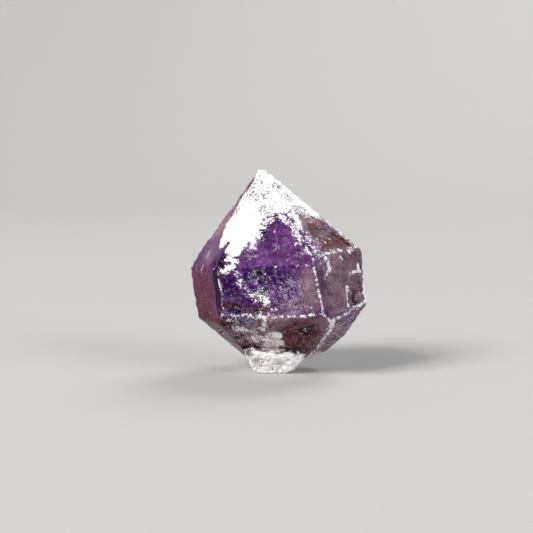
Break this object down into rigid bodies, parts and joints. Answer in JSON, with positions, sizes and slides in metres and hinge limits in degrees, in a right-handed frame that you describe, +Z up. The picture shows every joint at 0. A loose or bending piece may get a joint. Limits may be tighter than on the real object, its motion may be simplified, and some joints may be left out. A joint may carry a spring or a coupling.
{
  "type": "amethyst crystal",
  "caption": "Single amethyst crystal with a six-sided point, a short belt and a blunter lower point, standing on its white broken root.",
  "frame": {"origin": "centre of the bounding box's lowest face, on the surface that the crystal stands on", "axes": "+Z up, from the root to the point; the face that shows best looks towards -Y; +X is to that face's right"},
  "size_m": [0.0434, 0.0332, 0.0493],
  "materials": {
    "amethyst": "clear to milky violet quartz with a glassy lustre, frosted white in patches and on its worn edges, milky white at the root"
  },
  "bodies": {
    "root": {"amethyst_crystal": "amethyst"}
  },
  "joints": []
}
